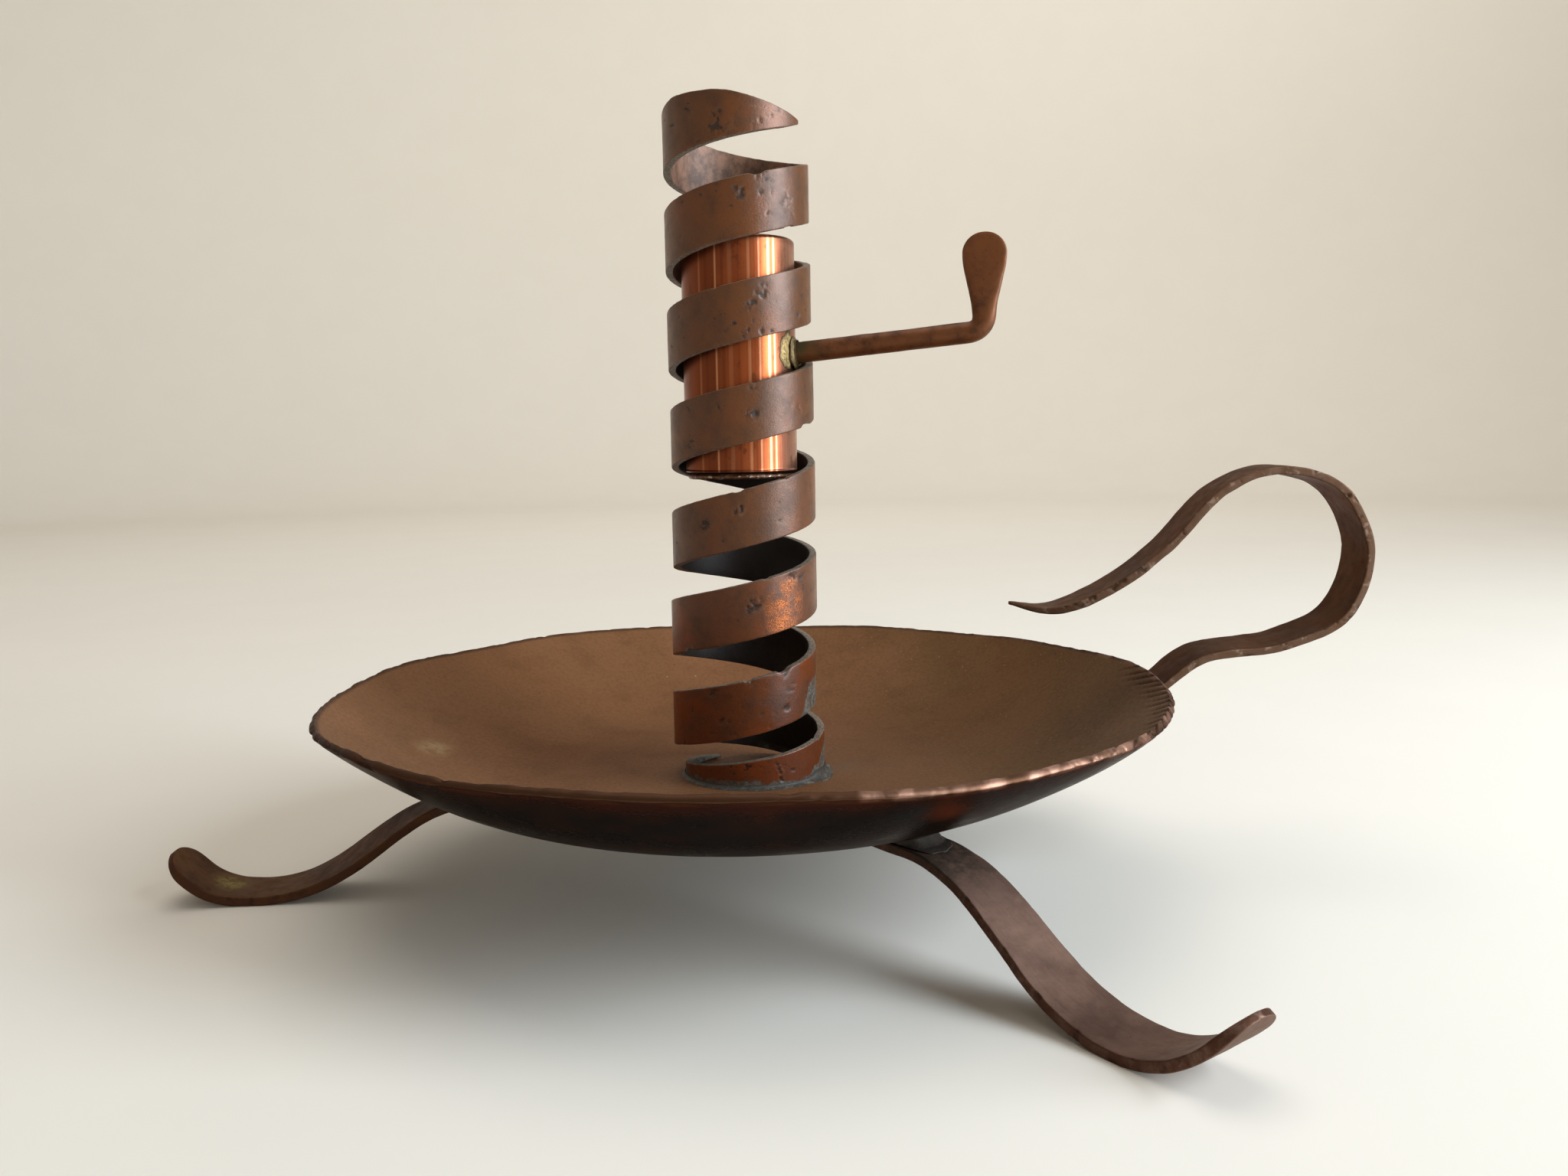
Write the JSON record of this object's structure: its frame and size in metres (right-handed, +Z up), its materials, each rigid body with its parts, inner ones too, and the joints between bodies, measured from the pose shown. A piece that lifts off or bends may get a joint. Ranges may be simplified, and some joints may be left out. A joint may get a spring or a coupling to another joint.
{
  "type": "candlestick",
  "caption": "Copper candlestick with strap legs, a drip dish with a looped handle, and a helically slotted tube in which a sleeve with a side lever screws up and down.",
  "frame": {"origin": "on the table, under the middle of the whole object's box", "axes": "+Z up along the tube's axis, +X towards the handle, +Y away from the viewer of the picture"},
  "size_m": [0.2414, 0.2028, 0.152],
  "materials": {
    "patinated_copper": "dark brown satin patina on copper",
    "worn_copper": "worn brown copper with pits and bright rubbed places",
    "polished_copper": "bright orange copper with fine streaks along its length",
    "solder": "rough dull grey solder",
    "braze": "dull yellow-green braze"
  },
  "bodies": {
    "holder": {"drip_dish": "patinated_copper", "spiral_tube": "worn_copper", "spiral_solder": "solder", "handle": "patinated_copper", "handle_solder": "solder", "leg_front": "patinated_copper", "leg_front_solder": "solder", "leg_left": "patinated_copper", "leg_left_solder": "solder", "leg_back": "patinated_copper", "leg_back_solder": "solder"},
    "candle_seat": {"seat_disc": "polished_copper"},
    "sleeve": {"lift_sleeve": "polished_copper", "lever": "worn_copper", "lever_braze": "braze"}
  },
  "joints": [
    {"name": "sleeve_lift", "type": "slide", "parent": "holder", "child": "candle_seat", "axis": [0, 0, 1], "range_m": [-0.059, 0.0341]},
    {"name": "sleeve_turn", "type": "hinge", "parent": "candle_seat", "child": "sleeve", "pos_m": [-0.00639, -0.00371, 0.10465], "axis": [0, 0, 1], "range_deg": [-1129, 651]}
  ],
  "couplings": [
    {"joint": "sleeve_lift", "follows": "sleeve_turn", "m_per_rad": 0.0029921}
  ]
}
